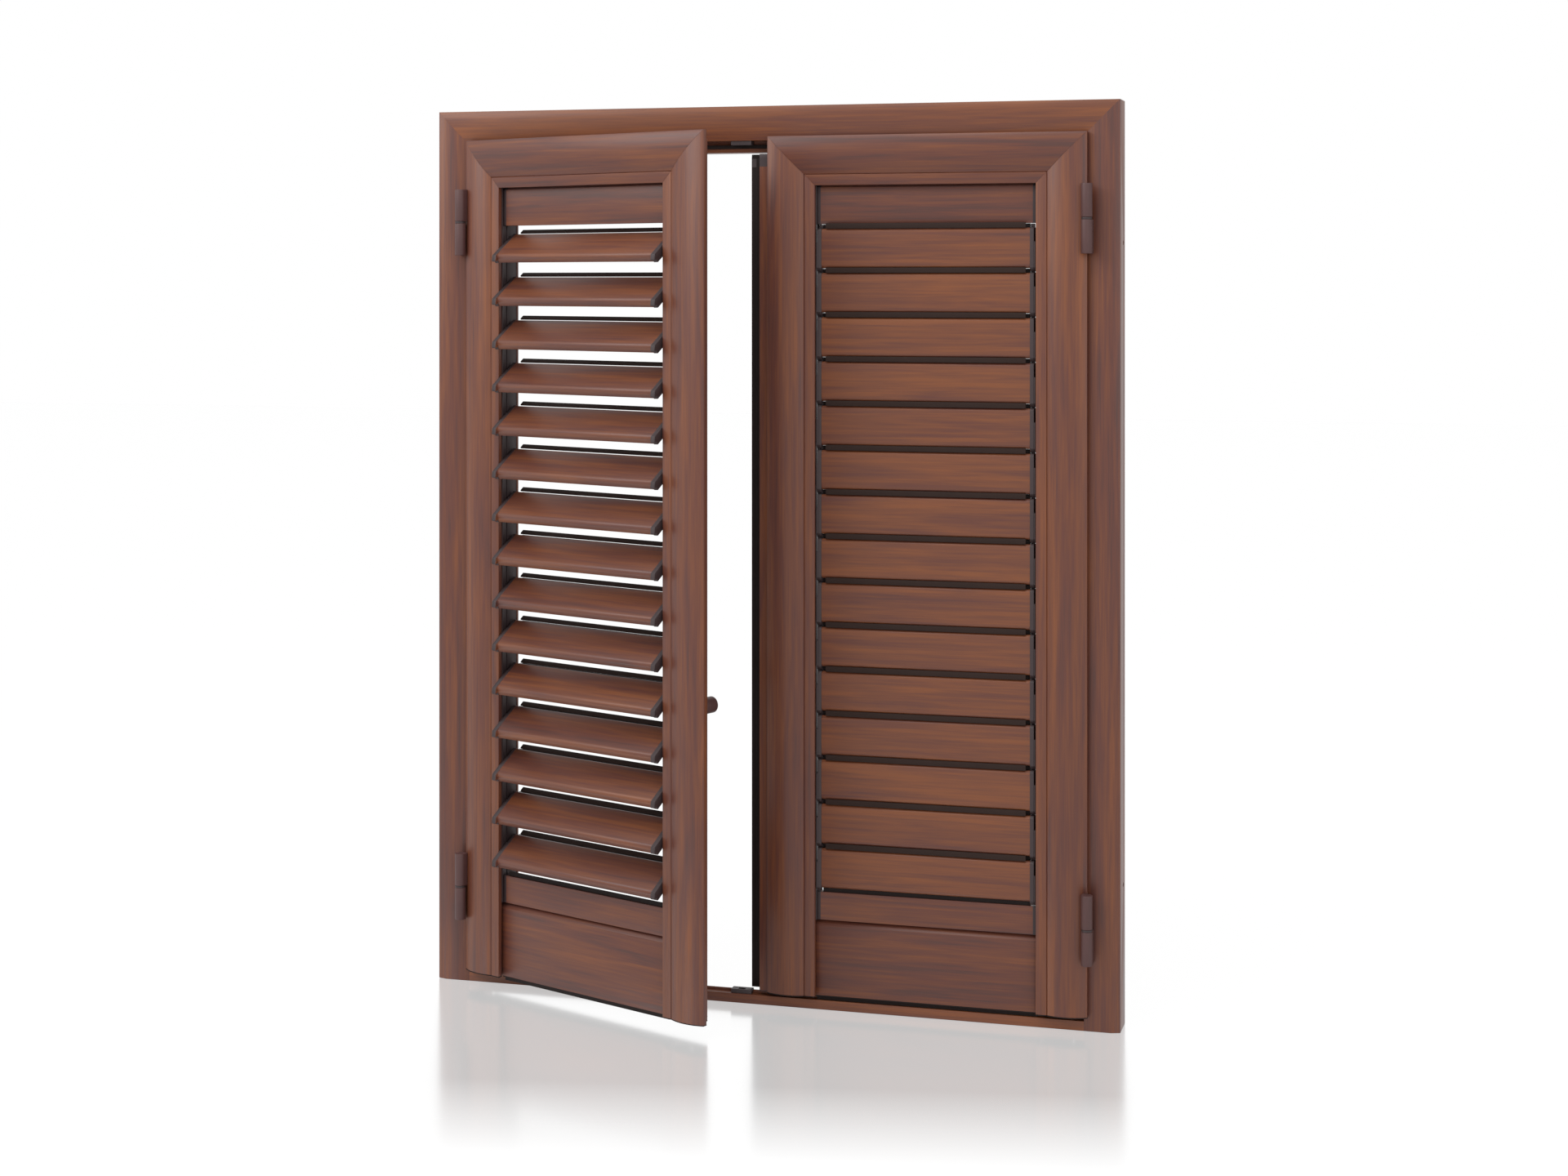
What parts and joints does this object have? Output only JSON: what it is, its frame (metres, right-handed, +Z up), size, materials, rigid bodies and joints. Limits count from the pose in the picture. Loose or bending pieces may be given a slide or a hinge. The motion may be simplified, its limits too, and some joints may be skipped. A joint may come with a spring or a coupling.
{
  "type": "louvred shutters",
  "caption": "Pair of hinged louvred window shutters in their frame, with tilting slats, a low threshold, an inner handle and lock rods.",
  "frame": {"origin": "middle of the threshold's underside, half way through the frame's depth", "axes": "+X along the frame towards the shut leaf, +Y inwards (the outer side faces -Y), +Z up"},
  "size_m": [1, 0.2328, 1.27],
  "materials": {
    "frame_profile": "satin, dark walnut wood effect",
    "leaf_profile": "satin, dark walnut wood effect",
    "slat": "satin, dark walnut wood effect",
    "hinge": "satin, brown lacquer",
    "nylon": "matte, near black",
    "seal": "matte, black",
    "handle": "satin, brown lacquer",
    "lock_rod": "plain, drawn"
  },
  "bodies": {
    "frame": {"left_jamb": "frame_profile", "right_jamb": "frame_profile", "head": "frame_profile", "frame_gasket": "seal", "threshold": "frame_profile", "lock_keepers": "nylon", "frame_hinge_halves": "hinge"},
    "left_leaf": {"left_hinge_stile": "leaf_profile", "left_free_stile": "leaf_profile", "left_top_rail": "leaf_profile", "left_bottom_rail": "leaf_profile", "left_fixed_strips": "leaf_profile", "left_slat_guides": "nylon", "left_bottom_seals": "seal", "left_leaf_hinge_halves": "hinge", "handle_plate": "handle"},
    "right_leaf": {"right_hinge_stile": "leaf_profile", "right_free_stile": "leaf_profile", "right_top_rail": "leaf_profile", "right_bottom_rail": "leaf_profile", "right_fixed_strips": "leaf_profile", "right_slat_guides": "nylon", "right_bottom_seals": "seal", "right_leaf_hinge_halves": "hinge", "right_astragal": "leaf_profile"},
    "handle_lever": {"handle_lever": "handle"},
    "upper_lock_rod": {"upper_lock_rod": "lock_rod"},
    "lower_lock_rod": {"lower_lock_rod": "lock_rod"},
    "left_slat_01": {"left_slat_01": "slat"},
    "left_slat_02": {"left_slat_02": "slat"},
    "left_slat_03": {"left_slat_03": "slat"},
    "left_slat_04": {"left_slat_04": "slat"},
    "left_slat_05": {"left_slat_05": "slat"},
    "left_slat_06": {"left_slat_06": "slat"},
    "left_slat_07": {"left_slat_07": "slat"},
    "left_slat_08": {"left_slat_08": "slat"},
    "left_slat_09": {"left_slat_09": "slat"},
    "left_slat_10": {"left_slat_10": "slat"},
    "left_slat_11": {"left_slat_11": "slat"},
    "left_slat_12": {"left_slat_12": "slat"},
    "left_slat_13": {"left_slat_13": "slat"},
    "left_slat_14": {"left_slat_14": "slat"},
    "left_slat_15": {"left_slat_15": "slat"},
    "left_tilt_rod": {"left_tilt_rod": "nylon"},
    "right_slat_01": {"right_slat_01": "slat"},
    "right_slat_02": {"right_slat_02": "slat"},
    "right_slat_03": {"right_slat_03": "slat"},
    "right_slat_04": {"right_slat_04": "slat"},
    "right_slat_05": {"right_slat_05": "slat"},
    "right_slat_06": {"right_slat_06": "slat"},
    "right_slat_07": {"right_slat_07": "slat"},
    "right_slat_08": {"right_slat_08": "slat"},
    "right_slat_09": {"right_slat_09": "slat"},
    "right_slat_10": {"right_slat_10": "slat"},
    "right_slat_11": {"right_slat_11": "slat"},
    "right_slat_12": {"right_slat_12": "slat"},
    "right_slat_13": {"right_slat_13": "slat"},
    "right_slat_14": {"right_slat_14": "slat"},
    "right_slat_15": {"right_slat_15": "slat"},
    "right_tilt_rod": {"right_tilt_rod": "nylon"}
  },
  "joints": [
    {"name": "left_leaf_swing", "type": "hinge", "parent": "frame", "child": "left_leaf", "pos_m": [-0.4575, -0.0427, 0.635], "axis": [0, 0, -1], "range_deg": [-22.6, 157.4]},
    {"name": "right_leaf_swing", "type": "hinge", "parent": "frame", "child": "right_leaf", "pos_m": [0.4575, -0.0427, 0.635], "axis": [0, 0, 1], "range_deg": [0, 180]},
    {"name": "handle_turn", "type": "hinge", "parent": "left_leaf", "child": "handle_lever", "pos_m": [-0.06389, -0.15488, 0.438], "axis": [-0.3843, -0.9232, 0], "range_deg": [0, 90]},
    {"name": "upper_rod_slide", "type": "slide", "parent": "left_leaf", "child": "upper_lock_rod", "axis": [0, 0, 1], "range_m": [0, 0.012]},
    {"name": "lower_rod_slide", "type": "slide", "parent": "left_leaf", "child": "lower_lock_rod", "axis": [0, 0, -1], "range_m": [0, 0.012]},
    {"name": "left_slat_01_tilt", "type": "hinge", "parent": "left_leaf", "child": "left_slat_01", "pos_m": [-0.24036, -0.11175, 1.06775], "axis": [-0.9232, 0.3843, 0], "range_deg": [-53, 7]},
    {"name": "left_slat_02_tilt", "type": "hinge", "parent": "left_leaf", "child": "left_slat_02", "pos_m": [-0.24036, -0.11175, 1.00575], "axis": [-0.9232, 0.3843, 0], "range_deg": [-53, 7]},
    {"name": "left_slat_03_tilt", "type": "hinge", "parent": "left_leaf", "child": "left_slat_03", "pos_m": [-0.24036, -0.11175, 0.94375], "axis": [-0.9232, 0.3843, 0], "range_deg": [-53, 7]},
    {"name": "left_slat_04_tilt", "type": "hinge", "parent": "left_leaf", "child": "left_slat_04", "pos_m": [-0.24036, -0.11175, 0.88175], "axis": [-0.9232, 0.3843, 0], "range_deg": [-53, 7]},
    {"name": "left_slat_05_tilt", "type": "hinge", "parent": "left_leaf", "child": "left_slat_05", "pos_m": [-0.24036, -0.11175, 0.81975], "axis": [-0.9232, 0.3843, 0], "range_deg": [-53, 7]},
    {"name": "left_slat_06_tilt", "type": "hinge", "parent": "left_leaf", "child": "left_slat_06", "pos_m": [-0.24036, -0.11175, 0.75775], "axis": [-0.9232, 0.3843, 0], "range_deg": [-53, 7]},
    {"name": "left_slat_07_tilt", "type": "hinge", "parent": "left_leaf", "child": "left_slat_07", "pos_m": [-0.24036, -0.11175, 0.69575], "axis": [-0.9232, 0.3843, 0], "range_deg": [-53, 7]},
    {"name": "left_slat_08_tilt", "type": "hinge", "parent": "left_leaf", "child": "left_slat_08", "pos_m": [-0.24036, -0.11175, 0.63375], "axis": [-0.9232, 0.3843, 0], "range_deg": [-53, 7]},
    {"name": "left_slat_09_tilt", "type": "hinge", "parent": "left_leaf", "child": "left_slat_09", "pos_m": [-0.24036, -0.11175, 0.57175], "axis": [-0.9232, 0.3843, 0], "range_deg": [-53, 7]},
    {"name": "left_slat_10_tilt", "type": "hinge", "parent": "left_leaf", "child": "left_slat_10", "pos_m": [-0.24036, -0.11175, 0.50975], "axis": [-0.9232, 0.3843, 0], "range_deg": [-53, 7]},
    {"name": "left_slat_11_tilt", "type": "hinge", "parent": "left_leaf", "child": "left_slat_11", "pos_m": [-0.24036, -0.11175, 0.44775], "axis": [-0.9232, 0.3843, 0], "range_deg": [-53, 7]},
    {"name": "left_slat_12_tilt", "type": "hinge", "parent": "left_leaf", "child": "left_slat_12", "pos_m": [-0.24036, -0.11175, 0.38575], "axis": [-0.9232, 0.3843, 0], "range_deg": [-53, 7]},
    {"name": "left_slat_13_tilt", "type": "hinge", "parent": "left_leaf", "child": "left_slat_13", "pos_m": [-0.24036, -0.11175, 0.32375], "axis": [-0.9232, 0.3843, 0], "range_deg": [-53, 7]},
    {"name": "left_slat_14_tilt", "type": "hinge", "parent": "left_leaf", "child": "left_slat_14", "pos_m": [-0.24036, -0.11175, 0.26175], "axis": [-0.9232, 0.3843, 0], "range_deg": [-53, 7]},
    {"name": "left_slat_15_tilt", "type": "hinge", "parent": "left_leaf", "child": "left_slat_15", "pos_m": [-0.24036, -0.11175, 0.19975], "axis": [-0.9232, 0.3843, 0], "range_deg": [-53, 7]},
    {"name": "left_tilt_rod_slide", "type": "slide", "parent": "left_leaf", "child": "left_tilt_rod", "axis": [0, 0, 1], "range_m": [-0.0013, 0.0089]},
    {"name": "right_slat_01_tilt", "type": "hinge", "parent": "right_leaf", "child": "right_slat_01", "pos_m": [0.2305, -0.023, 1.06775], "axis": [-1, 0, 0], "range_deg": [0, 60]},
    {"name": "right_slat_02_tilt", "type": "hinge", "parent": "right_leaf", "child": "right_slat_02", "pos_m": [0.2305, -0.023, 1.00575], "axis": [-1, 0, 0], "range_deg": [0, 60]},
    {"name": "right_slat_03_tilt", "type": "hinge", "parent": "right_leaf", "child": "right_slat_03", "pos_m": [0.2305, -0.023, 0.94375], "axis": [-1, 0, 0], "range_deg": [0, 60]},
    {"name": "right_slat_04_tilt", "type": "hinge", "parent": "right_leaf", "child": "right_slat_04", "pos_m": [0.2305, -0.023, 0.88175], "axis": [-1, 0, 0], "range_deg": [0, 60]},
    {"name": "right_slat_05_tilt", "type": "hinge", "parent": "right_leaf", "child": "right_slat_05", "pos_m": [0.2305, -0.023, 0.81975], "axis": [-1, 0, 0], "range_deg": [0, 60]},
    {"name": "right_slat_06_tilt", "type": "hinge", "parent": "right_leaf", "child": "right_slat_06", "pos_m": [0.2305, -0.023, 0.75775], "axis": [-1, 0, 0], "range_deg": [0, 60]},
    {"name": "right_slat_07_tilt", "type": "hinge", "parent": "right_leaf", "child": "right_slat_07", "pos_m": [0.2305, -0.023, 0.69575], "axis": [-1, 0, 0], "range_deg": [0, 60]},
    {"name": "right_slat_08_tilt", "type": "hinge", "parent": "right_leaf", "child": "right_slat_08", "pos_m": [0.2305, -0.023, 0.63375], "axis": [-1, 0, 0], "range_deg": [0, 60]},
    {"name": "right_slat_09_tilt", "type": "hinge", "parent": "right_leaf", "child": "right_slat_09", "pos_m": [0.2305, -0.023, 0.57175], "axis": [-1, 0, 0], "range_deg": [0, 60]},
    {"name": "right_slat_10_tilt", "type": "hinge", "parent": "right_leaf", "child": "right_slat_10", "pos_m": [0.2305, -0.023, 0.50975], "axis": [-1, 0, 0], "range_deg": [0, 60]},
    {"name": "right_slat_11_tilt", "type": "hinge", "parent": "right_leaf", "child": "right_slat_11", "pos_m": [0.2305, -0.023, 0.44775], "axis": [-1, 0, 0], "range_deg": [0, 60]},
    {"name": "right_slat_12_tilt", "type": "hinge", "parent": "right_leaf", "child": "right_slat_12", "pos_m": [0.2305, -0.023, 0.38575], "axis": [-1, 0, 0], "range_deg": [0, 60]},
    {"name": "right_slat_13_tilt", "type": "hinge", "parent": "right_leaf", "child": "right_slat_13", "pos_m": [0.2305, -0.023, 0.32375], "axis": [-1, 0, 0], "range_deg": [0, 60]},
    {"name": "right_slat_14_tilt", "type": "hinge", "parent": "right_leaf", "child": "right_slat_14", "pos_m": [0.2305, -0.023, 0.26175], "axis": [-1, 0, 0], "range_deg": [0, 60]},
    {"name": "right_slat_15_tilt", "type": "hinge", "parent": "right_leaf", "child": "right_slat_15", "pos_m": [0.2305, -0.023, 0.19975], "axis": [-1, 0, 0], "range_deg": [0, 60]},
    {"name": "right_tilt_rod_slide", "type": "slide", "parent": "right_leaf", "child": "right_tilt_rod", "axis": [0, 0, 1], "range_m": [-0.0101, 0]}
  ],
  "couplings": [
    {"joint": "upper_rod_slide", "follows": "handle_turn", "m_per_rad": 0.0076394},
    {"joint": "lower_rod_slide", "follows": "handle_turn", "m_per_rad": 0.0076394},
    {"joint": "left_slat_02_tilt", "follows": "left_slat_01_tilt", "ratio": 1},
    {"joint": "left_slat_03_tilt", "follows": "left_slat_01_tilt", "ratio": 1},
    {"joint": "left_slat_04_tilt", "follows": "left_slat_01_tilt", "ratio": 1},
    {"joint": "left_slat_05_tilt", "follows": "left_slat_01_tilt", "ratio": 1},
    {"joint": "left_slat_06_tilt", "follows": "left_slat_01_tilt", "ratio": 1},
    {"joint": "left_slat_07_tilt", "follows": "left_slat_01_tilt", "ratio": 1},
    {"joint": "left_slat_08_tilt", "follows": "left_slat_01_tilt", "ratio": 1},
    {"joint": "left_slat_09_tilt", "follows": "left_slat_01_tilt", "ratio": 1},
    {"joint": "left_slat_10_tilt", "follows": "left_slat_01_tilt", "ratio": 1},
    {"joint": "left_slat_11_tilt", "follows": "left_slat_01_tilt", "ratio": 1},
    {"joint": "left_slat_12_tilt", "follows": "left_slat_01_tilt", "ratio": 1},
    {"joint": "left_slat_13_tilt", "follows": "left_slat_01_tilt", "ratio": 1},
    {"joint": "left_slat_14_tilt", "follows": "left_slat_01_tilt", "ratio": 1},
    {"joint": "left_slat_15_tilt", "follows": "left_slat_01_tilt", "ratio": 1},
    {"joint": "left_tilt_rod_slide", "follows": "left_slat_01_tilt", "m_per_rad": -0.009549},
    {"joint": "right_slat_02_tilt", "follows": "right_slat_01_tilt", "ratio": 1},
    {"joint": "right_slat_03_tilt", "follows": "right_slat_01_tilt", "ratio": 1},
    {"joint": "right_slat_04_tilt", "follows": "right_slat_01_tilt", "ratio": 1},
    {"joint": "right_slat_05_tilt", "follows": "right_slat_01_tilt", "ratio": 1},
    {"joint": "right_slat_06_tilt", "follows": "right_slat_01_tilt", "ratio": 1},
    {"joint": "right_slat_07_tilt", "follows": "right_slat_01_tilt", "ratio": 1},
    {"joint": "right_slat_08_tilt", "follows": "right_slat_01_tilt", "ratio": 1},
    {"joint": "right_slat_09_tilt", "follows": "right_slat_01_tilt", "ratio": 1},
    {"joint": "right_slat_10_tilt", "follows": "right_slat_01_tilt", "ratio": 1},
    {"joint": "right_slat_11_tilt", "follows": "right_slat_01_tilt", "ratio": 1},
    {"joint": "right_slat_12_tilt", "follows": "right_slat_01_tilt", "ratio": 1},
    {"joint": "right_slat_13_tilt", "follows": "right_slat_01_tilt", "ratio": 1},
    {"joint": "right_slat_14_tilt", "follows": "right_slat_01_tilt", "ratio": 1},
    {"joint": "right_slat_15_tilt", "follows": "right_slat_01_tilt", "ratio": 1},
    {"joint": "right_tilt_rod_slide", "follows": "right_slat_01_tilt", "m_per_rad": -0.009549}
  ]
}
